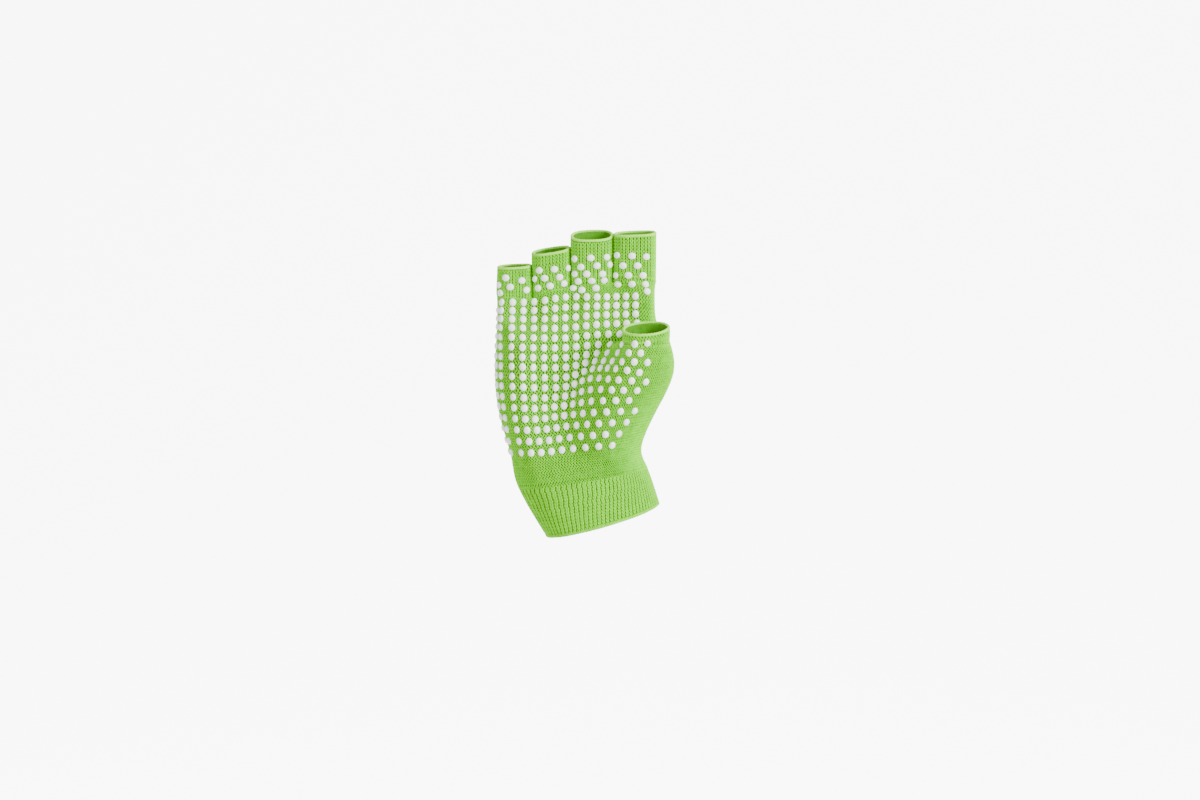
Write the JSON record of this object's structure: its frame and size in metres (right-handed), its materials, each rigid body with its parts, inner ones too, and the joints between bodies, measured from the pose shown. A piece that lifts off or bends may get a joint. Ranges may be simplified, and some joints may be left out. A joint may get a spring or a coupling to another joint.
{
  "type": "fingerless non-slip glove",
  "caption": "Right-hand fingerless knitted glove with raised grip dots on the palm, rolled finger edges and a ribbed cuff, in its worn form",
  "frame": {"origin": "centre of the cuff's opening, where the wrist goes in", "axes": "+Z towards the fingertips, -Y the way the palm faces, +X towards the thumb side"},
  "size_m": [0.0888, 0.0553, 0.1544],
  "materials": {
    "green_knit": "plain knitted polyester and cotton yarn in lime green, matt",
    "green_rib_knit": "rib knitted stretch yarn in lime green, matt",
    "green_rolled_edge": "rolled bound edge of the same yarn, a little lighter",
    "white_grip_dots": "soft white PVC printed in raised domes, satin"
  },
  "bodies": {
    "root": {"hand": "green_knit", "little_stall": "green_knit", "ring_stall": "green_knit", "middle_stall": "green_knit", "index_stall": "green_knit", "thumb_stall": "green_knit", "rib_cuff": "green_rib_knit", "little_rolled_edge": "green_rolled_edge", "ring_rolled_edge": "green_rolled_edge", "middle_rolled_edge": "green_rolled_edge", "index_rolled_edge": "green_rolled_edge", "thumb_rolled_edge": "green_rolled_edge"}
  },
  "joints": []
}
